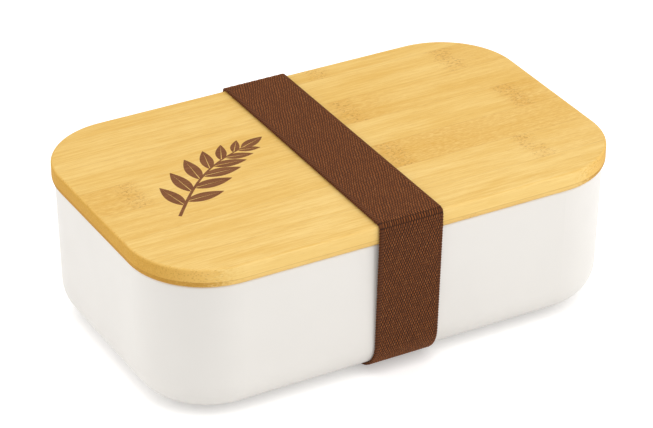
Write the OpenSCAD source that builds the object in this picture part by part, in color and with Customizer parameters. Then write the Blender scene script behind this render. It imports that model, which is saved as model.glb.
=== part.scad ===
// Bento lunch box: a white moulded container, a two-ply bamboo lid with a silicone seal,
// an elastic band round the middle, and a divider that slides inside.
// The origin is on the surface that the box stands on, under its middle; +X runs along
// the box, +Z up. Dimensions are in millimetres.

/* [Overall] */
// Length of the lid, along X
lid_l = 187; // [170:1:205]
// Width of the lid, along Y
lid_w = 114.5; // [105:0.5:125]
// Corner radius of the lid in plan
lid_r = 29.5; // [27:0.5:34]
// Height from the container's foot to the top of the lid
box_h = 60.6; // [54:0.2:75]

/* [Lid] */
// Height of the lid's visible edge
edge_h = 7.2; // [6.8:0.1:8]
// Thickness of the upper ply
top_ply_t = 5; // [4.5:0.1:5.2]
// Depth of the plug that drops into the container
plug_h = 4.6; // [4.4:0.1:6]
// Chamfer round the bottom of the plug
plug_chamfer = 0.6; // [0.3:0.1:0.8]
// Radius of the eased top edge
top_ease = 1; // [0.5:0.1:1.5]
// Radius of the rounded lower edge
low_round = 2.5; // [2.2:0.1:3]
// Height of the rounded lower edge
low_round_h = 1.9; // [1.4:0.1:2]
// Width of a whole bamboo strip
strip_w = 18.1; // [16:0.1:19]
// Width of the rearmost strip of the upper ply
first_top_w = 9.2; // [6:0.2:14]
// Width of the rearmost strip of the lower ply
first_under_w = 13; // [9:0.2:16]

/* [Seal] */
// Height of the groove in the plug
groove_h = 2.4; // [2:0.1:2.6]
// Depth of the groove in the plug
groove_d = 1.4; // [1:0.1:1.6]
// Distance from the flange down to the groove
groove_drop = 1.2; // [1:0.1:1.4]
// Radius of the seal's two lips
lip_r = 0.6; // [0.4:0.05:0.6]

/* [Container] */
// Thickness of the walls
wall = 2; // [1.6:0.1:2.4]
// Thickness of the floor
floor_t = 2; // [1.6:0.1:2.6]
// How far the rim sits inside the edge of the lid
rim_inset = 1.14; // [1:0.02:1.4]
// Draft of the walls, in degrees
draft = 1.2; // [0.8:0.1:1.6]
// Outside radius between wall and base
base_r = 12.4; // [10:0.2:13]
// Inside radius between wall and floor
floor_r = 9; // [8:0.2:10]
// Width of the foot ring
foot_w = 5; // [4:0.2:6]
// Depth of the recess inside the foot ring
recess = 1; // [0.6:0.1:1.4]

/* [Band] */
// Width of the elastic webbing
band_w = 25; // [20:0.5:30]
// Thickness of the elastic webbing
band_t = 1.3; // [1:0.1:1.5]
// Where the middle of the band lies along the box
band_x = -0.5; // [-5:0.5:5]
// Number of stitches across the seam under the box
stitches = 15; // [9:2:17]
// Length of a stitch
stitch_l = 5; // [4:0.5:7]
// Width of the thread
thread_w = 0.6; // [0.4:0.1:0.8]

/* [Divider] */
// Where the divider stands along the box
divider_x = 30; // [-50:1:50]
// Thickness of the divider's web
web_t = 1.6; // [1.2:0.1:2]
// Width of the flange that follows the walls and floor
flange_w = 8; // [6:0.5:12]
// Thickness of that flange
flange_t = 1.3; // [1:0.1:1.6]
// Radius of the finger notch
notch_r = 14; // [10:1:16]
// Depth of the finger notch
notch_d = 7; // [4:0.5:8]

/* [Fits] */
// Gap between the band and what it wraps
band_gap = 0.2; // [0.15:0.05:0.3]
// Gap between the rim and the lid
seat_gap = 0.1; // [0.05:0.05:0.2]
// Gap between the plug and the inside of the wall
plug_gap = 1; // [0.8:0.1:1.2]
// Gap between the seal and its groove
seal_gap = 0.05; // [0.02:0.01:0.1]
// Gap between the seal's lips and the wall
lip_gap = 0.15; // [0.1:0.05:0.2]
// Gap between the divider and the container
divider_gap = 0.35; // [0.3:0.05:0.5]
// Gap between the divider and the lid
headroom = 0.6; // [0.4:0.1:1]

/* [Hidden] */
$fn = 96;

WHITE = "#ece8e2";
BAMBOO = "#edc880";
BAMBOO_UNDER = "#d9ae66";
SILICONE = "#d9dbd8";
ELASTIC = "#63392a";
THREAD = "#4c2a1c";
BEIGE = "#dcd6cb";

// Heights
z_foot = band_t + band_gap;
z_top = z_foot + box_h;
z_seat = z_top - edge_h;
z_ply = z_top - top_ply_t;
z_plug = z_seat - plug_h;
z_groove = z_seat - groove_drop - groove_h;
z_rim = z_seat - seat_gap;
z_floor = z_foot + recess + floor_t;
z_split = z_seat + low_round_h;

// Half distances between the axes of the plan corners
run = lid_l / 2 - lid_r;
span = lid_w / 2 - lid_r;

// Outside of the wall, as a distance from the corner axis, at height z
function wall_r(z) = lid_r - rim_inset - (z_rim - z) * tan(draft);
// Centre of a circle of radius r at height z that touches the wall from inside,
// inset from its outer face
function blend_centre(z, r, inset) = [wall_r(z) - (r + inset) / cos(draft), z];
// Where such a circle touches the wall
function touch(centre, r) = centre + r * [cos(draft), -sin(draft)];
// Where a line from p touches the right-hand side of a circle
function tangent(p, centre, r) =
    let(v = p - centre, turn = atan2(v[1], v[0]) - acos(r / norm(v)))
    centre + r * [cos(turn), sin(turn)];
// Back edge of strip i of a ply whose rearmost strip is first wide
function strip_back(i, first) = lid_w / 2 - (i == 0 ? 0 : first + (i - 1) * strip_w);

outer_blend = blend_centre(z_foot + base_r, base_r, 0);
inner_blend = blend_centre(z_floor + floor_r, floor_r, wall);
rim_r = wall / 2;
rim_centre = blend_centre(z_rim - rim_r, rim_r, 0);
low_inset = low_round - sqrt(pow(low_round, 2) - pow(low_round_h, 2));
plug_r = wall_r(z_rim) - wall - plug_gap;
lip_reach = wall_r(z_groove) - wall / cos(draft) - lip_gap;
cut = 1;

// Sweeps an edge profile round the box, as a ring. The profile's x is the distance from
// a corner axis and its y the height.
module ring() {
    for (k = [0:3]) {
        out = k % 2 == 0 ? run : span;
        side = k % 2 == 0 ? span : run;
        rotate([0, 0, 90 * k])
            translate([out, side, 0]) {
                rotate_extrude(angle = 90) children();
                rotate([90, 0, 0]) linear_extrude(2 * side) children();
            }
    }
}

// The same, with the middle closed between z_low and z_high
module swept(z_low, z_high) {
    ring() children();
    translate([-run, -span, z_low]) cube([2 * run, 2 * span, z_high - z_low]);
}

// Stretches a shape drawn in y and z along x
module along_x(x, length) {
    translate([x - length / 2, 0, 0]) rotate([90, 0, 90]) linear_extrude(length) children();
}

module both_sides() {
    children();
    mirror([1, 0]) children();
}

// Container

module container_skin_2d() {
    corner = touch(outer_blend, base_r);
    rim_out = touch(rim_centre, rim_r);
    rim_in = touch(rim_centre, -rim_r);
    polygon([
        [0, z_foot], [outer_blend[0], z_foot], corner,
        rim_out, rim_in, [0, rim_in[1]]
    ]);
    translate(outer_blend) circle(base_r);
}

// Room inside the container, inset from its walls and floor, up to height z_high
module room_2d(inset, z_high) {
    r = floor_r - inset;
    polygon([
        [0, z_floor + inset], [inner_blend[0], z_floor + inset], touch(inner_blend, r),
        [wall_r(z_high) - (wall + inset) / cos(draft), z_high], [0, z_high]
    ]);
    translate(inner_blend) circle(r);
}

module container_2d() {
    foot_in = outer_blend[0] - foot_w;
    difference() {
        container_skin_2d();
        room_2d(0, z_rim + cut);
        polygon([
            [-cut, z_foot - cut], [foot_in + cut, z_foot - cut],
            [foot_in - recess, z_foot + recess], [-cut, z_foot + recess]
        ]);
    }
    translate(rim_centre) circle(rim_r);
}

module container() {
    color(WHITE) swept(z_foot + recess, z_floor) container_2d();
}

// Lid

module flange_2d() {
    polygon([
        [0, z_seat], [lid_r - low_inset, z_seat], [lid_r, z_split],
        [lid_r, z_top - top_ease], [lid_r - top_ease, z_top], [0, z_top]
    ]);
    intersection() {
        translate([lid_r - low_round, z_split]) circle(low_round);
        translate([0, z_seat]) square([lid_r, low_round_h]);
    }
    translate([lid_r - top_ease, z_top - top_ease]) circle(top_ease);
}

module top_ply_2d() {
    intersection() {
        flange_2d();
        translate([0, z_ply]) square([lid_r, top_ply_t]);
    }
}

module under_ply_2d() {
    intersection() {
        flange_2d();
        translate([0, z_seat]) square([lid_r, z_ply - z_seat]);
    }
    difference() {
        polygon([
            [0, z_plug], [plug_r - plug_chamfer, z_plug], [plug_r, z_plug + plug_chamfer],
            [plug_r, z_ply], [0, z_ply]
        ]);
        translate([plug_r - groove_d, z_groove]) square([groove_d + cut, groove_h]);
    }
}

// Strip i of a ply, counted from the back
module strip(i, first, count) {
    back = strip_back(i, first);
    front = i == count - 1 ? -lid_w / 2 - cut : strip_back(i + 1, first);
    intersection() {
        children();
        translate([-lid_l, front, z_plug - cut])
            cube([2 * lid_l, (i == 0 ? back + cut : back) - front, z_top - z_plug + 2 * cut]);
    }
}

module lid_strip(i) {
    color(BAMBOO) strip(i, first_top_w, 7) swept(z_ply, z_top) top_ply_2d();
}

module lid_under_strip(i) {
    color(BAMBOO_UNDER) strip(i, first_under_w, 7) swept(z_plug, z_ply) under_ply_2d();
}

module seal_2d() {
    back = plug_r - groove_d + seal_gap;
    low = z_groove + seal_gap;
    high = z_groove + groove_h - seal_gap;
    lip_x = lip_reach - lip_r;
    translate([back, low]) square([lip_x - back, high - low]);
    for (z = [low + lip_r, high - lip_r])
        translate([lip_x, z]) circle(lip_r);
}

module seal_ring() {
    color(SILICONE) ring() seal_2d();
}

// Band

// Outline of the taut loop round lid and container, in y and z, grown by reach
module loop_2d(reach) {
    heel = [span + outer_blend[0], outer_blend[1]];
    hip = [lid_w / 2 + reach, z_split];
    shoulder = [lid_w / 2 - top_ease, z_top - top_ease];
    both_sides() {
        polygon([
            [0, z_foot - reach], [heel[0], z_foot - reach],
            tangent(hip, heel, base_r + reach), hip,
            [hip[0], shoulder[1]], [shoulder[0], z_top + reach], [0, z_top + reach]
        ]);
        translate(heel) circle(base_r + reach);
        translate(shoulder) circle(top_ease + reach);
    }
}

module band() {
    along_x(band_x, band_w)
        difference() {
            loop_2d(band_gap + band_t);
            loop_2d(band_gap);
        }
}

// Threads that bridge the seam, in its lower and upper faces
module stitch_rows(depth) {
    pitch = (band_w - 2 * thread_w) / stitches;
    for (i = [0:stitches - 1], z = [-cut, band_t - depth])
        translate([
            band_x + (i - (stitches - 1) / 2) * pitch - thread_w / 2,
            (i % 2 - 0.5) * thread_w - stitch_l / 2,
            z
        ])
            cube([thread_w, stitch_l, depth + cut]);
}

module band_upper() {
    color(ELASTIC)
        intersection() {
            band();
            translate([-lid_l, -lid_w, z_split]) cube([2 * lid_l, 2 * lid_w, 2 * edge_h]);
        }
}

module band_lower() {
    color(ELASTIC)
        difference() {
            band();
            translate([-lid_l, -lid_w, z_split]) cube([2 * lid_l, 2 * lid_w, 2 * edge_h]);
            stitch_rows(thread_w);
        }
}

module band_stitching() {
    inset = 0.05;
    color(THREAD)
        intersection() {
            stitch_rows(thread_w);
            translate([-band_w, -band_w, inset]) cube([2 * band_w, 2 * band_w, band_t - 2 * inset]);
        }
}

// Divider

module divider_2d(inset, z_high) {
    both_sides() {
        translate([span, 0]) room_2d(divider_gap + inset, z_high);
        translate([0, z_floor + divider_gap + inset])
            square([span, z_high - z_floor - divider_gap - inset]);
    }
}

module divider() {
    z_high = z_plug - headroom;
    color(BEIGE) {
        along_x(divider_x, web_t)
            difference() {
                divider_2d(0, z_high);
                translate([0, z_high + notch_r - notch_d]) circle(notch_r);
            }
        along_x(divider_x, flange_w)
            difference() {
                divider_2d(0, z_high);
                divider_2d(flange_t, z_high + cut);
            }
    }
}

container();
lid_strip(0);  // lid_strip_1
lid_strip(1);  // lid_strip_2
lid_strip(2);  // lid_strip_3
lid_strip(3);  // lid_strip_4
lid_strip(4);  // lid_strip_5
lid_strip(5);  // lid_strip_6
lid_strip(6);  // lid_strip_7
lid_under_strip(0);  // lid_under_strip_1
lid_under_strip(1);  // lid_under_strip_2
lid_under_strip(2);  // lid_under_strip_3
lid_under_strip(3);  // lid_under_strip_4
lid_under_strip(4);  // lid_under_strip_5
lid_under_strip(5);  // lid_under_strip_6
lid_under_strip(6);  // lid_under_strip_7
seal_ring();
band_upper();
band_lower();
band_stitching();
divider();
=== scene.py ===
"""A bento lunch box: a white container, a bamboo lid and a brown elastic band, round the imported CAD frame.

Meshes are in metres, like the frame. In the object's materials, places and sizes are in millimetres.
"""

import math

import bmesh
import bpy
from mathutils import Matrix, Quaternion, Vector


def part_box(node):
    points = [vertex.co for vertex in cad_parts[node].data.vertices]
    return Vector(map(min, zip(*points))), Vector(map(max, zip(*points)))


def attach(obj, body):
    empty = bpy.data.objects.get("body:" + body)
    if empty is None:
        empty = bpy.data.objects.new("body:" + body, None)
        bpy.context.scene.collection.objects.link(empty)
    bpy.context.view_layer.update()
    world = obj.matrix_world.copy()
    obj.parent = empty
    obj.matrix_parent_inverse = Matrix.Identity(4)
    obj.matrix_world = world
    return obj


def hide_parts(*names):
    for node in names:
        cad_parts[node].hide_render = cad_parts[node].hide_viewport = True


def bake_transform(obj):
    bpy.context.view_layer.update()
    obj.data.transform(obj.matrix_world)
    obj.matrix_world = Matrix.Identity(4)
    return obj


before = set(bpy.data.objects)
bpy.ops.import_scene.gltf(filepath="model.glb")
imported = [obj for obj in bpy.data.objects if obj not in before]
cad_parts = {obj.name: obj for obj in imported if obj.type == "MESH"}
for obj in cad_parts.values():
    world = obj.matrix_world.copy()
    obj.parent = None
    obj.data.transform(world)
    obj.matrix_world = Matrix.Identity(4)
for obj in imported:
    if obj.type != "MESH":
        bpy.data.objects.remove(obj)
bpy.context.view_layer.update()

MM = 0.001

# ---------------------------------------------------------------------------------------
# Sizes, from the frame where it has them

LID_STRIPS = 7
strip_boxes = [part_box(f"lid_strip_{i + 1}") for i in range(LID_STRIPS)]
tub_low, tub_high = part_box("container")
band_low, band_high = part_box("band_upper")

LID_TOP = strip_boxes[0][1].z
LID_HALF_W = strip_boxes[0][1].y
PLY_Z = strip_boxes[0][0].z
SPLIT_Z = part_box("band_lower")[1].z
FOOT_Z = tub_low.z
BAND_X = (band_low.x + band_high.x) / 2
BAND_W = band_high.x - band_low.x

# The same as in the part's source, for the route that the band takes round the box: the round of the
# container's base, the draft of its walls and the eased edge of the lid
BASE_R = 12.4 * MM
DRAFT = math.radians(1.2)
TOP_EASE = 1.0 * MM


# ---------------------------------------------------------------------------------------
# Node graphs


def srgb(r, g, b):
    """A colour as it shows on a screen, from 0 to 255, as the shader's linear one."""
    def linear(v):
        v /= 255
        return v / 12.92 if v <= 0.04045 else ((v + 0.055) / 1.055) ** 2.4

    return (linear(r), linear(g), linear(b), 1)


class Graph:
    """A new material and short ways to add nodes to it."""

    def __init__(self, name):
        self.material = bpy.data.materials.new(name)
        self.material.use_nodes = True
        self.tree = self.material.node_tree
        self.shader = self.tree.nodes["Principled BSDF"]
        self.output = self.tree.nodes["Material Output"]

    def add(self, kind, inputs=(), **settings):
        node = self.tree.nodes.new(kind)
        for key, value in settings.items():
            setattr(node, key, value)
        for key, value in dict(inputs).items():
            self.feed(node.inputs[key], value)
        return node

    def feed(self, socket, value):
        if isinstance(value, bpy.types.NodeSocket):
            self.tree.links.new(value, socket)
        else:
            socket.default_value = value

    def math(self, operation, a, b=0.0, c=0.0):
        return self.add("ShaderNodeMath", {0: a, 1: b, 2: c}, operation=operation).outputs[0]

    def times(self, a, b):
        return self.math("MULTIPLY", a, b)

    def weighted(self, *terms):
        """The sum of the terms, each of them a value and its weight."""
        total = 0.0
        for value, weight in terms:
            total = self.math("MULTIPLY_ADD", value, weight, total)
        return total

    def shift(self, noise, size):
        """Noise made into a shift of up to half of size either way."""
        return self.times(self.math("SUBTRACT", noise, 0.5), size)

    def ramp(self, value, low, high, to_low=0.0, to_high=1.0):
        """A smooth step of value from low to high."""
        inputs = {"Value": value, "From Min": low, "From Max": high, "To Min": to_low, "To Max": to_high}
        return self.add("ShaderNodeMapRange", inputs, interpolation_type="SMOOTHSTEP").outputs[0]

    def near(self, a, b, core, reach):
        """1 where a is within core of b, down to 0 where it is reach away."""
        away = self.math("ABSOLUTE", self.math("SUBTRACT", a, b))
        return self.ramp(away, core, reach, 1.0, 0.0)

    def mix(self, share, a, b):
        """Colour a where share is 0, b where it is 1."""
        node = self.add("ShaderNodeMix", data_type="RGBA")
        for name, kind, value in (("Factor", "VALUE", share), ("A", "RGBA", a), ("B", "RGBA", b)):
            socket = next(s for s in node.inputs if s.name == name and s.type == kind)
            self.feed(socket, value)
        return next(s for s in node.outputs if s.type == "RGBA")

    def over(self, color, share, amount, tint):
        """Colour, with tint laid over it by share times amount."""
        return self.mix(self.times(share, amount), color, tint)

    def millimetres(self):
        """Place in the row frame, in millimetres, as three sockets."""
        place = self.add("ShaderNodeTexCoord").outputs["Object"]
        scaled = self.add("ShaderNodeVectorMath", {0: place, "Scale": 1 / MM}, operation="SCALE")
        return self.split(scaled.outputs[0])

    def weave_map(self):
        """Place on the map called weave, as its sockets u and v."""
        return self.split(self.add("ShaderNodeUVMap", uv_map="weave").outputs[0])[:2]

    def split(self, vector):
        return tuple(self.add("ShaderNodeSeparateXYZ", {0: vector}).outputs)

    def join(self, x, y, z):
        return self.add("ShaderNodeCombineXYZ", {0: x, 1: y, 2: z}).outputs[0]

    def noise(self, vector, detail=2.0, roughness=0.5):
        inputs = {"Vector": vector, "Scale": 1.0, "Detail": detail, "Roughness": roughness}
        return self.add("ShaderNodeTexNoise", inputs).outputs[0]

    def stretched_noise(self, place, sizes, seed=0.0, detail=2.0, roughness=0.5):
        """Noise whose grains measure sizes, in millimetres, along x, y and z."""
        parts = [self.math("MULTIPLY_ADD", p, 1 / s, seed) for p, s in zip(place, sizes)]
        return self.noise(self.join(*parts), detail, roughness)

    def bump(self, height, depth_mm, strength):
        inputs = {"Height": height, "Distance": depth_mm * MM, "Strength": strength}
        return self.add("ShaderNodeBump", inputs).outputs[0]

    def surface(self, color, roughness, normal, **constants):
        """The finished material. The constants are set on the shader's own sockets."""
        for key, value in (("Base Color", color), ("Roughness", roughness), ("Normal", normal)):
            self.feed(self.shader.inputs[key], value)
        for key, value in constants.items():
            self.shader.inputs[key.replace("_", " ")].default_value = value
        return self.material


# ---------------------------------------------------------------------------------------
# Bamboo

# How large its marks are, in millimetres: along the strip, across it and down
MOTTLES = (1.2, 0.7, 0.7)
FLECKS = (2.6, 0.6, 0.6)
HAIRS = (7, 0.22, 0.22)
FIBRES = (17, 0.5, 0.5)
STREAKS = (48, 1.5, 1.5)
CLOUDS = (40, 7, 7)
BUNDLES = (5.5, 0.2, 0.2)
SWERVES = (5, 3, 3)
DRIFTS = (70, 30, 30)
KNOT_BENDS = (60, 5.5, 9)

# How far the fibres swerve round a node and drift elsewhere, and how far the line of a node bends
SWERVE = 2.4
DRIFT_ACROSS = 3.0
KNOT_BEND = 7.0
# Half the width of a node, where it is full and where it ends
KNOT_CORE = 1.2
KNOT_REACH = 6.4

BUNDLE_COLOR = srgb(206, 152, 68)
DEEPER_COLOR = srgb(226, 172, 74)
KNOT_COLOR = srgb(224, 170, 76)
KNOT_SPECK_COLOR = srgb(187, 133, 54)
SEAM_COLOR = srgb(186, 136, 70)
# painted highlight on the lid's long sides
PAINTED_SIDE_HIGHLIGHT = srgb(255, 220, 138)
GLUE_COLOR = srgb(180, 126, 52)
SLANTED_END_COLOR = srgb(246, 199, 108)
SQUARE_END_COLOR = srgb(217, 164, 64)
DARK_END_COLOR = srgb(192, 137, 44)
PALE_END_COLOR = srgb(238, 196, 98)
END_DOT_COLOR = srgb(182, 128, 44)


def knot_nearness(g, place, seed, knots):
    """How near a node of the culm is, from 0 to 1. Its line bends as it crosses the strip."""
    nearness = 0.0
    for knot in knots:
        noise = g.stretched_noise(place, KNOT_BENDS, seed + knot, 2, 0.6)
        bend = g.math("MULTIPLY_ADD", noise, KNOT_BEND, -KNOT_BEND / 2 - knot)
        line = g.near(g.math("ADD", place[0], bend), 0.0, KNOT_CORE, KNOT_REACH)
        nearness = g.math("MAXIMUM", nearness, line)
    return nearness


def along_fibres(g, place, seed, near_knot):
    """The place, moved across the strip so that the fibres drift, and swerve round the nodes."""
    x, y, z = place
    swerve = g.shift(g.stretched_noise(place, SWERVES, seed), SWERVE)
    drift = g.shift(g.stretched_noise(place, DRIFTS, seed), DRIFT_ACROSS)
    across = g.math("ADD", y, g.math("MULTIPLY_ADD", swerve, near_knot, drift))
    return (x, across, z)


def end_grain(g, place, facing, mottle, end_tone):
    """The colour of the end grain, and the dots in it, where the bundles are cut across."""
    x, y, z = place
    cells = g.add("ShaderNodeTexVoronoi", {"Vector": g.join(g.times(x, 0.12), y, z), "Scale": 1.7})
    dots = g.ramp(cells.outputs["Distance"], 0.10, 0.45, 1.0, 0.0)
    square_on = g.ramp(facing, 0.4, 1.0)
    color = g.mix(square_on, SLANTED_END_COLOR, SQUARE_END_COLOR)
    color = g.mix(end_tone, color, DARK_END_COLOR)
    color = g.over(color, dots, 0.55, END_DOT_COLOR)
    color = g.mix(g.ramp(mottle, 0.45, 0.7, 0.0, 0.35), color, PALE_END_COLOR)
    return color, dots


def bamboo(name, seed, light, dark, end_tone, knots=(), deeper=(), seams=()):
    """Bamboo whose fibres run along x. knots are the places of the culm's nodes along x, deeper the places
    (start, end, amount) between which the tone is deeper, and seams the glued edges, as y, in millimetres.
    end_tone is how dark the end grain is, from 0 to 1."""
    g = Graph(name)
    x, y, z = place = g.millimetres()
    mottle = g.stretched_noise(place, MOTTLES, seed, 3, 0.7)
    flecks = g.ramp(g.stretched_noise(place, FLECKS, seed + 5, 3, 0.65), 0.36, 0.64, 0.15, 1.65)
    near_knot = knot_nearness(g, place, seed, knots)
    grain = along_fibres(g, place, seed, near_knot)
    hair = g.stretched_noise(grain, HAIRS, seed + 2, 3, 0.7)
    fibre = g.stretched_noise(grain, FIBRES, seed, 4, 0.72)
    streak = g.stretched_noise(grain, STREAKS, seed + 3, 3, 0.65)
    cloud = g.stretched_noise(place, CLOUDS, seed + 7, 2, 0.5)
    tone = g.weighted((cloud, 0.22), (streak, 0.22), (hair, 0.28), (fibre, 0.28))
    color = g.mix(g.ramp(tone, 0.40, 0.60), dark, light)
    # vascular bundles: short dark hairs along the grain
    bundles = g.ramp(g.stretched_noise(grain, BUNDLES, seed + 11, 1, 0.5), 0.62, 0.74)
    color = g.over(color, bundles, 0.36, BUNDLE_COLOR)
    for start, end, amount in deeper:
        within = g.times(g.ramp(x, start - 7, start + 3), g.ramp(x, end - 8, end + 8, 1.0, 0.0))
        color = g.over(color, within, g.times(flecks, amount), DEEPER_COLOR)
    if knots:
        color = g.over(color, near_knot, g.times(flecks, 0.24), KNOT_COLOR)
        specks = g.times(near_knot, g.ramp(mottle, 0.52, 0.64))
        color = g.over(color, specks, 0.78, KNOT_SPECK_COLOR)
    for seam in seams:
        color = g.over(color, g.near(y, seam, 0.03, 0.18), 0.22, SEAM_COLOR)
    # the long sides get a painted highlight that makes them paler than the faces, and end grain shows on the
    # short sides
    normal = g.split(g.add("ShaderNodeTexCoord").outputs["Normal"])
    facing, sideways = g.math("ABSOLUTE", normal[0]), g.math("ABSOLUTE", normal[1])
    color = g.mix(g.ramp(sideways, 0.4, 0.9, 0.0, 0.40), color, PAINTED_SIDE_HIGHLIGHT)
    ends = g.ramp(g.math("ADD", g.shift(mottle, 1.1), facing), 0.08, 0.48)
    end_color, dots = end_grain(g, place, facing, mottle, end_tone)
    color = g.over(color, ends, 0.95, end_color)
    color = g.over(color, g.near(z, PLY_Z / MM, 0.05, 0.22), 0.30, GLUE_COLOR)
    height = g.weighted((bundles, -0.5), (fibre, 0.7), (g.times(dots, ends), -0.8))
    roughness = g.math("MULTIPLY_ADD", ends, 0.30, g.ramp(tone, 0.35, 0.65, 0.54, 0.44))
    return g.surface(color, roughness, g.bump(height, 0.05, 0.6), Specular_IOR_Level=0.35)


def engraving():
    """Laser-burnt bamboo: brown, matt, streaked with the grain and with the laser's lines."""
    g = Graph("engraving")
    place = g.millimetres()
    grain = g.stretched_noise(place, (12, 0.4, 0.4), 9.0, 3, 0.7)
    lines_per_mm = 6.0
    lines = g.math("PINGPONG", g.times(place[1], lines_per_mm), 0.5)
    color = g.mix(g.ramp(grain, 0.3, 0.7), srgb(120, 72, 42), srgb(146, 96, 58))
    color = g.over(color, lines, 0.25, srgb(104, 60, 34))
    return g.surface(color, 0.75, g.bump(grain, 0.03, 0.5), Specular_IOR_Level=0.2)


# ---------------------------------------------------------------------------------------
# Plastic and silicone


def moulded_plastic(name, color, speck_color):
    """Satin moulded plastic, with a faint orange peel and tiny specks."""
    g = Graph(name)
    place = g.millimetres()
    cloud = g.stretched_noise(place, (30, 30, 30), 1.0, 2, 0.5)
    specks = g.ramp(g.stretched_noise(place, (0.35, 0.35, 0.35), 2.0, 1, 0.5), 0.70, 0.78)
    duller = [c * 0.985 for c in color[:3]] + [1]
    tint = g.mix(g.ramp(cloud, 0.35, 0.65), color, duller)
    tint = g.over(tint, specks, 0.10, speck_color)
    peel = g.stretched_noise(place, (1.4, 1.4, 1.4), 4.0, 3, 0.55)
    rub = g.stretched_noise(place, (9, 9, 9), 5.0, 3, 0.6)
    roughness = g.ramp(rub, 0.3, 0.7, 0.36, 0.44)
    return g.surface(tint, roughness, g.bump(peel, 0.02, 0.35), IOR=1.49)


def silicone():
    """Milky silicone with dust on it."""
    g = Graph("silicone")
    dust = g.stretched_noise(g.millimetres(), (0.5, 0.5, 0.5), 6.0, 2, 0.6)
    color = g.mix(g.ramp(dust, 0.3, 0.7), srgb(214, 216, 212), srgb(224, 226, 223))
    roughness = g.ramp(dust, 0.3, 0.7, 0.42, 0.55)
    return g.surface(color, roughness, g.bump(dust, 0.02, 0.3), Subsurface_Weight=0.15)


# ---------------------------------------------------------------------------------------
# Elastic and thread

# The weave, in millimetres: how far apart its wales and its courses are, and how wide a selvedge is
WALE = 0.97
COURSE = 1.10
SELVEDGE = 1.4
# How far a float leans over its length, in wales
WALE_LEAN = 0.14
# The yarns wander in slow waves: how far, in wales, radians per millimetre of u and of v, and radians at
# the start
SWAYS = ((0.22, 0.35, 0.43, 0.0), (0.09, -0.71, 1.13, 2.0))

# painted shade in the gaps between the floats
PAINTED_GAP_SHADE = srgb(12, 3, 0)
YARN_COLOR = srgb(137, 75, 32)
DARK_YARN_COLOR = srgb(66, 32, 12)
# painted highlight: a glint on some of the floats
PAINTED_GLINT_COLOR = srgb(160, 104, 60)
FUZZ_COLOR = srgb(128, 78, 41)
PATCH_COLOR = srgb(92, 50, 22)
# painted shade in the gaps between the selvedge's bars
SELVEDGE_PAINTED_GAP_SHADE = srgb(50, 22, 8)
SELVEDGE_BAR_COLOR = srgb(92, 50, 24)
SHEEN_COLOR = srgb(206, 128, 76)


def woven_floats(g, u, v):
    """The floats of the weave: how high each stands, how far its nearer end is, and its chance number.
    Each course of floats lies half a float aside from the one before."""
    course = g.math("DIVIDE", v, COURSE)
    row, step = g.math("FLOOR", course), g.math("FRACT", course)
    wale = g.math("MULTIPLY_ADD", u, 1 / WALE, g.times(row, 0.5))
    wale = g.math("MULTIPLY_ADD", step, WALE_LEAN, wale)
    for amount, per_u, per_v, start in SWAYS:
        phase = g.math("MULTIPLY_ADD", u, per_u, g.math("MULTIPLY_ADD", v, per_v, start))
        wale = g.math("MULTIPLY_ADD", g.math("SINE", phase), amount, wale)
    column, side = g.math("FLOOR", wale), g.math("FRACT", wale)
    rib = g.math("PINGPONG", side, 0.5)
    end = g.math("PINGPONG", step, 0.5)
    height = g.times(g.ramp(rib, 0.13, 0.37), g.ramp(end, -0.10, 0.26))
    chance = g.add("ShaderNodeTexWhiteNoise", {"Vector": g.join(column, row, 0.0)}).outputs["Value"]
    return height, end, chance


def elastic():
    """Woven elastic. The map's u is the distance from the band's middle line, v the distance along it."""
    g = Graph("elastic")
    u, v = g.weave_map()
    height, end, chance = woven_floats(g, u, v)
    fuzz = g.noise(g.join(g.times(u, 7.0), g.times(v, 4.0), 0.0), 3, 0.7)
    patch = g.noise(g.join(g.times(u, 0.25), g.times(v, 0.12), 3.0), 2, 0.5)
    # the gaps between the floats are painted near black: painted shade in the weave's hollows
    color = g.mix(height, PAINTED_GAP_SHADE, YARN_COLOR)
    color = g.mix(g.ramp(chance, 0.5, 0.9, 0.0, 0.50), color, DARK_YARN_COLOR)
    # some floats get a painted highlight, a glint on their raised middle
    glints = g.times(g.ramp(chance, 0.0, 0.22, 1.0, 0.0), height)
    color = g.over(color, glints, 0.38, PAINTED_GLINT_COLOR)
    color = g.mix(g.ramp(fuzz, 0.35, 0.75, 0.0, 0.08), color, FUZZ_COLOR)
    color = g.mix(g.ramp(patch, 0.35, 0.65, 0.0, 0.10), color, PATCH_COLOR)
    # the selvedges are denser and darker, with bars across, and painted shade in the gaps between the bars
    border = BAND_W / MM / 2 - SELVEDGE
    edge = g.ramp(g.math("ABSOLUTE", u), border - 0.3, border + 0.3)
    bars = g.ramp(end, 0.05, 0.3)
    edge_color = g.mix(bars, SELVEDGE_PAINTED_GAP_SHADE, SELVEDGE_BAR_COLOR)
    color = g.over(color, edge, 0.85, edge_color)
    relief = g.times(g.math("MULTIPLY_ADD", fuzz, 0.25, height), g.math("SUBTRACT", 1.0, edge))
    relief = g.math("MULTIPLY_ADD", bars, edge, relief)
    return g.surface(
        color, 0.82, g.bump(relief, 0.20, 0.8),
        Specular_IOR_Level=0.22, Sheen_Weight=0.62, Sheen_Roughness=0.45, Sheen_Tint=SHEEN_COLOR,
    )


def thread():
    """Twisted thread. The map's u is the turn round it, v the distance along it."""
    g = Graph("thread")
    u, v = g.weave_map()
    twists_per_mm = 2.4
    twist = g.math("PINGPONG", g.math("MULTIPLY_ADD", v, twists_per_mm, u), 0.5)
    # the grooves of the twist are painted dark: painted shade
    color = g.mix(g.ramp(twist, 0.05, 0.35), srgb(44, 22, 13), srgb(96, 58, 38))
    return g.surface(color, 0.6, g.bump(twist, 0.05, 0.8), Sheen_Weight=0.2)


# ---------------------------------------------------------------------------------------
# Meshes


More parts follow.
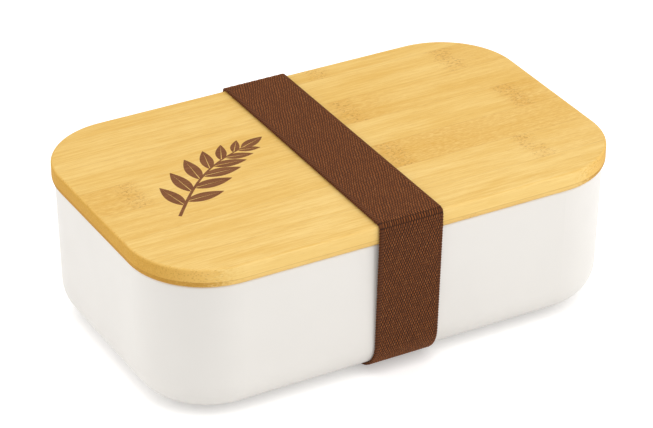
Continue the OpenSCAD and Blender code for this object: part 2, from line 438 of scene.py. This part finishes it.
def mesh_piece(name, vertices, faces, material, corner_uv=None):
    """A smooth mesh object. corner_uv gives, for each face, its corners' places on the map called weave."""
    mesh = bpy.data.meshes.new(name)
    mesh.from_pydata(vertices, [], faces)
    mesh.materials.append(material)
    if corner_uv is not None:
        layer = mesh.uv_layers.new(name="weave")
        flat = [value for face in corner_uv for corner in face for value in corner]
        layer.data.foreach_set("uv", flat)
    mesh.polygons.foreach_set("use_smooth", [True] * len(mesh.polygons))
    mesh.validate()
    obj = bpy.data.objects.new(name, mesh)
    bpy.context.scene.collection.objects.link(obj)
    return obj


def line(start, end, step):
    """Places on a straight stretch, without its end, as (y, z)."""
    count = max(1, round(math.dist(start, end) / step))
    return [
        (start[0] + (end[0] - start[0]) * i / count, start[1] + (end[1] - start[1]) * i / count)
        for i in range(count)
    ]


def arc(centre, radius, start, end, count):
    """Places on an arc, in y and z, from angle start to end, without its end."""
    angles = [start + (end - start) * i / count for i in range(count)]
    return [(centre[0] + radius * math.cos(a), centre[1] + radius * math.sin(a)) for a in angles]


# ---------------------------------------------------------------------------------------
# The elastic band

# Between the box and the webbing's inner face
BAND_GAP = 0.12 * MM
BAND_THICK = 1.16 * MM
BAND_EDGE_R = 0.5 * MM
# How far the floats stand up, and a slow unevenness on top of that
BAND_RELIEF = 0.15 * MM
RIPPLE = 0.04 * MM
# The selvedges: how far they are drawn in, and how far their edge goes in and out
EDGE_PULL = 0.1 * MM
SCALLOP = 0.09 * MM
# How deep the stitches pull the seam in, and how far that reaches along the band
SEAM_PINCH = 0.25 * MM
SEAM_SPREAD = 0.5 * MM
# How many steps the band's path takes round the container's base, and round the lid's edge
HEEL_STEPS = 18
SHOULDER_STEPS = 8


def band_path(reach, step):
    """The taut loop's inner line, in y and z, once round from the middle of the seam under the box."""
    heel_z = FOOT_Z + BASE_R
    heel_y = tub_high.y - (tub_high.z - heel_z) * math.tan(DRAFT) - BASE_R / math.cos(DRAFT)
    heel = (heel_y, heel_z)
    heel_r = BASE_R + reach
    hip = (LID_HALF_W + reach, SPLIT_Z)
    shoulder = (LID_HALF_W - TOP_EASE, LID_TOP - TOP_EASE)
    shoulder_r = TOP_EASE + reach
    # the line from the heel to the lid's lower edge leaves the heel's round where it touches it
    away = (hip[0] - heel[0], hip[1] - heel[1])
    lean = math.atan2(away[1], away[0]) - math.acos(heel_r / math.hypot(*away))
    leave = (heel[0] + heel_r * math.cos(lean), heel[1] + heel_r * math.sin(lean))
    half = line((0, heel[1] - heel_r), (heel[0], heel[1] - heel_r), step)
    half += arc(heel, heel_r, -math.pi / 2, lean, HEEL_STEPS)
    half += line(leave, hip, step)
    half += line(hip, (hip[0], shoulder[1]), step)
    half += arc(shoulder, shoulder_r, 0, math.pi / 2, SHOULDER_STEPS)
    half += line((shoulder[0], shoulder[1] + shoulder_r), (0, shoulder[1] + shoulder_r), step)
    top = (0, LID_TOP + reach)
    return half + [top] + [(-y, z) for y, z in reversed(half[1:])]


def band_rows(reach):
    """Places on the loop, two for each course of the weave and evenly apart, and how far apart they are."""
    path = band_path(reach, 1 * MM)
    lengths = [0.0]
    for i in range(len(path)):
        lengths.append(lengths[-1] + math.dist(path[i], path[(i + 1) % len(path)]))
    count = 2 * round(lengths[-1] / (COURSE * MM))
    gap = lengths[-1] / count
    rows, k = [], 0
    for i in range(count):
        while lengths[k + 1] < i * gap:
            k += 1
        share = (i * gap - lengths[k]) / (lengths[k + 1] - lengths[k])
        rows.append(Vector(path[k]).lerp(Vector(path[(k + 1) % len(path)]), share))
    return rows, gap


def band_section():
    """The webbing's section: (distance from its middle line, height over its inner face, is it outside),
    all round, with round selvedges."""
    flat = BAND_W / 2 - BAND_EDGE_R
    per_wale, turns = 4, 5
    outer_count = int(2 * flat / (WALE * MM) * per_wale)
    inner_count = outer_count // 4
    outer = [(-flat + 2 * flat * i / outer_count, BAND_THICK, True) for i in range(outer_count + 1)]
    inner = [(flat - 2 * flat * i / inner_count, 0.0, False) for i in range(inner_count + 1)]
    angles = [math.pi * i / (turns + 1) for i in range(1, turns + 1)]
    right = [
        (flat + BAND_EDGE_R * math.sin(a), BAND_THICK / 2 * (1 + math.cos(a)), False) for a in angles
    ]
    left = [(-u, height, outside) for u, height, outside in reversed(right)]
    return outer + right + inner + left


def weave_relief(u, v):
    """How far the webbing's outer face stands up at u and v, both in millimetres, from 0 to 1."""
    row = math.floor(v / COURSE + 0.001)
    wale = u / WALE + 0.5 * row + WALE_LEAN * (v / COURSE - row)
    wale += sum(amount * math.sin(per_u * u + per_v * v + start) for amount, per_u, per_v, start in SWAYS)
    return abs(math.sin(math.pi * wale)) * (0.75 + 0.25 * abs(math.sin(math.pi * v / COURSE)))


def outer_rise(u, v):
    """How far the outer face stands off its mean height at u and v, both in millimetres."""
    mean_relief = 0.75
    ripple = RIPPLE * math.sin(0.9 * v + 2.1 * u) * math.cos(0.37 * v)
    return BAND_RELIEF * (weave_relief(u, v) - mean_relief) + ripple


def elastic_band(material):
    """One loop of webbing over the lid, down both sides and under the container."""
    route, gap = band_rows(BAND_GAP)
    section = band_section()
    rows, columns = len(route), len(section)
    inside_selvedge = BAND_W / 2 - SELVEDGE * MM
    course_gap = COURSE / 2
    vertices = []
    for i, (y, z) in enumerate(route):
        along = (route[(i + 1) % rows] - route[i - 1]).normalized()
        out = Vector((along.y, -along.x))
        from_seam = min(i, rows - i) * gap
        pinch = SEAM_PINCH * math.exp(-((from_seam / SEAM_SPREAD) ** 2))
        scallop = SCALLOP * (-1) ** i
        for u, height, outside in section:
            rise = height
            if outside:
                rise += outer_rise(u / MM, i * course_gap)
            rise -= pinch * (1 if height > BAND_THICK / 2 else -1)
            edge = max(0.0, (abs(u) - inside_selvedge) / (SELVEDGE * MM))
            wide = u + math.copysign(edge * (scallop - EDGE_PULL), u)
            vertices.append((BAND_X + wide, y + out.x * rise, z + out.y * rise))
    faces, corner_uv = [], []
    for i in range(rows):
        j = (i + 1) % rows
        for k in range(columns):
            m = (k + 1) % columns
            faces.append((i * columns + k, j * columns + k, j * columns + m, i * columns + m))
            u_k, u_m = section[k][0] / MM, section[m][0] / MM
            v_i, v_j = i * course_gap, (i + 1) * course_gap
            corner_uv.append(((u_k, v_i), (u_k, v_j), (u_m, v_j), (u_m, v_i)))
    return mesh_piece("elastic_band", vertices, faces, material, corner_uv)


# ---------------------------------------------------------------------------------------
# The seam under the box

THREAD_R = 0.22 * MM
THREAD_SIDES = 8
# How far the zigzag goes to either side of the seam, and how far along it one leg goes
ZIGZAG_REACH = 2.2 * MM
ZIGZAG_PITCH = 0.8 * MM
# The webbing's two faces at the seam: how high the thread turns, and how far it arches from there
LOWER_Z = 0.42 * MM
LOWER_ARCH = -0.14 * MM
INNER_Z = 1.22 * MM
INNER_ARCH = 0.1 * MM


def tube(points, radius, sides):
    """Vertices, faces and map places of a round tube along points, with closed ends."""
    vertices, faces, corner_uv = [], [], []
    lengths = [0.0]
    for a, b in zip(points, points[1:]):
        lengths.append(lengths[-1] + (b - a).length)
    for i, point in enumerate(points):
        along = (points[min(i + 1, len(points) - 1)] - points[max(i - 1, 0)]).normalized()
        first = along.cross(Vector((0, 0, 1))).normalized()
        second = along.cross(first)
        for k in range(sides):
            turn = 2 * math.pi * k / sides
            vertices.append(tuple(point + radius * (math.cos(turn) * first + math.sin(turn) * second)))
    for i in range(len(points) - 1):
        for k in range(sides):
            m = (k + 1) % sides
            faces.append((i * sides + k, i * sides + m, (i + 1) * sides + m, (i + 1) * sides + k))
            u_k, u_m = k / sides, (k + 1) / sides
            v_i, v_j = lengths[i] / MM, lengths[i + 1] / MM
            corner_uv.append(((u_k, v_i), (u_m, v_i), (u_m, v_j), (u_k, v_j)))
    last = (len(points) - 1) * sides
    faces.append(tuple(reversed(range(sides))))
    corner_uv.append(((0, 0),) * sides)
    faces.append(tuple(range(last, last + sides)))
    corner_uv.append(((0, lengths[-1] / MM),) * sides)
    return vertices, faces, corner_uv


def zigzag(z, arch):
    """The line of a zigzag seam across the band at height z, arching between its turns."""
    half = BAND_W / 2 - SELVEDGE * MM
    legs, per_leg = round(2 * half / ZIGZAG_PITCH), 8
    points = []
    for i in range(legs):
        side = ZIGZAG_REACH * (-1) ** i
        start = Vector((BAND_X - half + i * ZIGZAG_PITCH, side, 0))
        end = Vector((BAND_X - half + (i + 1) * ZIGZAG_PITCH, -side, 0))
        for k in range(per_leg):
            t = k / per_leg
            point = start.lerp(end, t)
            points.append(Vector((point.x, point.y, z + arch * (1 - abs(2 * t - 1) ** 3))))
    return points


def seam_stitching(material):
    """Zigzag thread through the butted ends of the band, on its lower and its inner face."""
    vertices, faces, corner_uv = [], [], []
    for points in (zigzag(LOWER_Z, LOWER_ARCH), zigzag(INNER_Z, INNER_ARCH)):
        more, sides, places = tube(points, THREAD_R, THREAD_SIDES)
        faces += [tuple(k + len(vertices) for k in face) for face in sides]
        vertices += more
        corner_uv += places
    return mesh_piece("seam_stitching", vertices, faces, material, corner_uv)


# ---------------------------------------------------------------------------------------
# The engraved sprig on the lid: a generic leaf pattern of this part's own

SPRIG_CENTRE = Vector((-47.2, 2.0)) * MM
# How far it stands over the lid and reaches into it, and how much lower each blade is than the one before,
# so that no two faces lie in one plane
SPRIG_TOP = 0.03 * MM
SPRIG_SINK = 0.12 * MM
SPRIG_STEP = 0.0005 * MM
# Half the width of a leaf's bare midrib at its foot, and a leaf's half width as a share of its length
MIDRIB = 0.28 * MM
LEAF_WIDTH = 0.17
LEAF_PAIRS = 6
# Where the first and the last pair grow, from 0 to 1 along the stem, and how much further on the leaf on
# the right of a pair grows
FIRST_LEAF = 0.12
LAST_LEAF = 0.904
LEAF_STAGGER = 0.045


def leaf(base, angle, length, width):
    """Two half blades on either side of a bare midrib, as outlines."""
    blades = []
    ahead = Vector((math.cos(angle), math.sin(angle)))
    aside = Vector((-ahead.y, ahead.x))
    count = 14
    for side in (1, -1):
        edge = []
        for i in range(count + 1):
            t = i / count
            spread = width * math.sin(math.pi * t ** 0.85) ** 0.9 if 0 < t < 1 else 0
            edge.append(base + ahead * (length * t) + aside * side * (MIDRIB * (1 - t) + spread))
        back = [
            base + ahead * (length * i / count) + aside * side * MIDRIB * (1 - i / count) * 0.6
            for i in range(count - 1, 0, -1)
        ]
        blades.append(edge + back)
    return blades


def stem_point(t):
    """The stem's middle line, from its foot at t = 0 to its tip at t = 1."""
    x = -21.5 + 41 * t
    y = -20 + 33 * t + 5.5 * math.sin(math.pi * t)
    return SPRIG_CENTRE + Vector((x, y)) * MM


def stem_angle(t, step=0.01):
    """Which way the stem runs at t."""
    here, there = stem_point(t), stem_point(t + step)
    return math.atan2(there.y - here.y, there.x - here.x)


def stem_outline():
    """The stem, which narrows towards its tip."""
    count = 24
    left, right = [], []
    for i in range(count + 1):
        t = i / count
        here, angle = stem_point(t), stem_angle(t)
        aside = Vector((-math.sin(angle), math.cos(angle))) * (0.62 - 0.4 * t) * MM
        left.append(here + aside)
        right.append(here - aside)
    return right + left[::-1]


def leaf_outlines():
    """The pairs of leaves, which grow shorter and close up towards the tip, and the leaf at the tip."""
    outlines = []
    for i in range(LEAF_PAIRS):
        t = FIRST_LEAF + (LAST_LEAF - FIRST_LEAF) * i / (LEAF_PAIRS - 1)
        angle, opening = stem_angle(t), 0.86 - 0.05 * i
        length = (17.5 - 1.3 * abs(i - 1.8) - 0.9 * i) * MM
        width = length * LEAF_WIDTH
        outlines += leaf(stem_point(t), angle + opening, length, width)
        outlines += leaf(stem_point(t + LEAF_STAGGER), angle - opening, length * 0.96, width)
    return outlines + leaf(stem_point(1.0), stem_angle(0.98, 0.02), 11 * MM, 2.1 * MM)


def engraved_sprig(material):
    """Each outline as a thin slab in the lid's top."""
    vertices, faces = [], []
    bottom = LID_TOP - SPRIG_SINK
    for k, outline in enumerate([stem_outline()] + leaf_outlines()):
        top = LID_TOP + SPRIG_TOP - k * SPRIG_STEP
        first, n = len(vertices), len(outline)
        vertices += [(p.x, p.y, top) for p in outline] + [(p.x, p.y, bottom) for p in outline]
        faces.append(tuple(range(first, first + n)))
        faces.append(tuple(reversed(range(first + n, first + 2 * n))))
        for i in range(n):
            j = (i + 1) % n
            faces.append((first + i, first + n + i, first + n + j, first + j))
    obj = mesh_piece("engraved_sprig", vertices, faces, material)
    work = bmesh.new()
    work.from_mesh(obj.data)
    bmesh.ops.recalc_face_normals(work, faces=work.faces)
    bmesh.ops.triangulate(work, faces=[f for f in work.faces if len(f.verts) > 4])
    work.to_mesh(obj.data)
    work.free()
    obj.data.polygons.foreach_set("use_smooth", [False] * len(obj.data.polygons))
    return obj


# ---------------------------------------------------------------------------------------
# Camera, light and floor

VIEW_AZIMUTH = math.radians(-29.22)
VIEW_ELEVATION = math.radians(30.12)
VIEW_ROLL = math.radians(0.17)
VIEW_DISTANCE = 1.052
VIEW_HEIGHT = 0.0310
LENS = 160.46
SENSOR_WIDTH = 36
SHIFT_X = -0.0052
SHIFT_Y = 0.0139

# Softboxes: name, place, how wide they are in metres, and watts
SOFTBOXES = (
    ("key", (1.0, -1.1, 1.0), 1.5, 13.8),
    ("left", (-1.5, 0.4, 0.8), 1.4, 8.0),
    ("top", (0.0, 0.5, 1.8), 1.2, 5.5),
)
LIGHT_AIM = Vector((0, 0, 0.03))
WORLD_STRENGTH = 0.60

WHITE = (1, 1, 1, 1)
WARM_WHITE = (1, 0.975, 0.95, 1)
BLACK = (0, 0, 0, 1)
FLOOR_COLOR = (0.9, 0.9, 0.9, 1)
FLOOR_HALF = 3.0
# How bright the floor is by itself where nothing is near, and how close its contact shadow lies
FLOOR_GLOW = 0.48
CONTACT_REACH = 6 * MM


def camera():
    back = Vector((
        math.sin(VIEW_AZIMUTH) * math.cos(VIEW_ELEVATION),
        -math.cos(VIEW_AZIMUTH) * math.cos(VIEW_ELEVATION),
        math.sin(VIEW_ELEVATION),
    ))
    data = bpy.data.cameras.new("camera")
    data.sensor_width = SENSOR_WIDTH
    data.lens = LENS
    data.shift_x = SHIFT_X
    data.shift_y = SHIFT_Y
    data.clip_start = 0.05
    data.clip_end = 20
    obj = bpy.data.objects.new("camera", data)
    obj.location = Vector((0, 0, VIEW_HEIGHT)) + back * VIEW_DISTANCE
    obj.rotation_mode = "QUATERNION"
    obj.rotation_quaternion = (-back).to_track_quat("-Z", "Y") @ Quaternion((0, 0, 1), VIEW_ROLL)
    bpy.context.scene.collection.objects.link(obj)
    bpy.context.scene.camera = obj


def softbox(name, place, size, watts):
    """A square area light that faces the object."""
    data = bpy.data.lights.new(name, "AREA")
    data.shape = "SQUARE"
    data.size = size
    data.energy = watts
    obj = bpy.data.objects.new(name, data)
    obj.location = place
    obj.rotation_mode = "QUATERNION"
    obj.rotation_quaternion = (LIGHT_AIM - Vector(place)).to_track_quat("-Z", "Y")
    bpy.context.scene.collection.objects.link(obj)


def lighting():
    world = bpy.data.worlds.new("world")
    bpy.context.scene.world = world
    world.use_nodes = True
    background = world.node_tree.nodes["Background"]
    background.inputs["Color"].default_value = WHITE
    background.inputs["Strength"].default_value = WORLD_STRENGTH
    for name, place, size, watts in SOFTBOXES:
        softbox(name, place, size, watts)


def floor_material():
    """White where it is seen, but for the shadow close to the object, and plain grey to other light."""
    g = Graph("floor")
    path = g.add("ShaderNodeLightPath")
    seen = g.math("MAXIMUM", path.outputs["Is Camera Ray"], path.outputs["Is Glossy Ray"])
    seen = g.math("MAXIMUM", seen, path.outputs["Is Transmission Ray"])
    # a narrow contact shadow, only where the object comes down to the floor
    nearness = g.add("ShaderNodeAmbientOcclusion", {"Distance": CONTACT_REACH}, samples=8).outputs["AO"]
    open_share = g.ramp(nearness, 0.25, 0.95, 0.78, 1.0)
    shade = g.mix(open_share, BLACK, FLOOR_COLOR)
    matt = g.add("ShaderNodeBsdfDiffuse", {"Color": FLOOR_COLOR}).outputs[0]
    close = g.add("ShaderNodeBsdfDiffuse", {"Color": shade}).outputs[0]
    strength = g.times(open_share, FLOOR_GLOW)
    glow = g.add("ShaderNodeEmission", {"Color": WARM_WHITE, "Strength": strength}).outputs[0]
    lifted = g.add("ShaderNodeAddShader", {0: close, 1: glow}).outputs[0]
    mixed = g.add("ShaderNodeMixShader", {0: seen, 1: matt, 2: lifted}).outputs[0]
    g.feed(g.output.inputs["Surface"], mixed)
    return g.material


def white_floor():
    corners = [(x * FLOOR_HALF, y * FLOOR_HALF, 0) for x, y in ((-1, -1), (1, -1), (1, 1), (-1, 1))]
    obj = mesh_piece("floor", corners, [(0, 1, 2, 3)], floor_material())


# ---------------------------------------------------------------------------------------
# Materials for the CAD pieces that stay

# The strips of the upper ply, from the back: places of the culm's nodes along x, deeper stretches, and how
# pale the strip is
TOP_STRIPS = (
    {"knots": (23,), "deeper": (), "paler": -0.4},
    {"knots": (72.5,), "deeper": ((76, 95, 0.25),), "paler": 0.0},
    {"knots": (19.5,), "deeper": ((16, 36, 0.40), (36, 95, 0.12)), "paler": -0.3},
    {"knots": (78.5, -77), "deeper": ((77, 95, 0.45), (-95, -77, 0.42)), "paler": 0.0},
    {"knots": (18,), "deeper": ((10, 52, 0.52), (52, 95, 0.38), (-95, -60, 0.15)), "paler": 0.0},
    {"knots": (64,), "deeper": ((72, 95, 0.18),), "paler": 1.0},
    {"knots": (), "deeper": (), "paler": 0.8},
)
# How dark the end grain of each ply is
TOP_END_TONE = 0.1
UNDER_END_TONE = 0.9
UNDER_COLORS = (srgb(240, 197, 106), srgb(224, 172, 76))

CONTAINER_COLOR = srgb(238, 234, 228)
CONTAINER_SPECK_COLOR = srgb(205, 200, 192)
DIVIDER_COLOR = srgb(216, 208, 194)
DIVIDER_SPECK_COLOR = srgb(180, 170, 152)


def dress(node, material):
    """Puts the material on a CAD node."""
    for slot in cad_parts[node].material_slots:
        slot.material = material


def strip_colors(paler):
    """The light and the dark fibres of a strip. No two culms are quite alike, so some are paler, up to 1."""
    return (
        srgb(248 + 3 * paler, 209 + 5 * paler, 125 + 8 * paler),
        srgb(234 + 3 * paler, 186 + 5 * paler, 91 + 8 * paler),
    )


def glued_edges(node):
    """The edges along which a strip meets the next one, as y in millimetres."""
    low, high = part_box(node)
    return [y / MM for y in (low.y, high.y) if abs(y) < LID_HALF_W - MM]


def dress_upper_ply():
    for i, strip in enumerate(TOP_STRIPS):
        node = f"lid_strip_{i + 1}"
        seed = 17.3 * (i + 1)
        light, dark = strip_colors(strip["paler"])
        knots, deeper, seams = strip["knots"], strip["deeper"], glued_edges(node)
        dress(node, bamboo(f"bamboo_top_{i + 1}", seed, light, dark, TOP_END_TONE, knots, deeper, seams))


def dress_lower_ply():
    """Its strips are a little darker, and each has one node, at one of four places."""
    light, dark = UNDER_COLORS
    for i in range(LID_STRIPS):
        node = f"lid_under_strip_{i + 1}"
        seed = 11.9 * (i + 1) + 5
        knots, seams = (-70 + 47 * (i * 3 % 4),), glued_edges(node)
        dress(node, bamboo(f"bamboo_under_{i + 1}", seed, light, dark, UNDER_END_TONE, knots, seams=seams))


# ---------------------------------------------------------------------------------------
# The scene, and the finish of the CAD pieces

camera()
lighting()
white_floor()

dress_upper_ply()
dress_lower_ply()
dress("container", moulded_plastic("container_plastic", CONTAINER_COLOR, CONTAINER_SPECK_COLOR))
dress("divider", moulded_plastic("divider_plastic", DIVIDER_COLOR, DIVIDER_SPECK_COLOR))
dress("seal_ring", silicone())

# ---------------------------------------------------------------------------------------
# The pieces that Blender makes

band = elastic_band(elastic())
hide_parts("band_upper", "band_lower")
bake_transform(band)

stitches = seam_stitching(thread())
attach(stitches, "band_lower")
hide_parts("band_stitching")

sprig = engraved_sprig(engraving())
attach(sprig, "lid")

bpy.context.scene.view_settings.view_transform = "Standard"
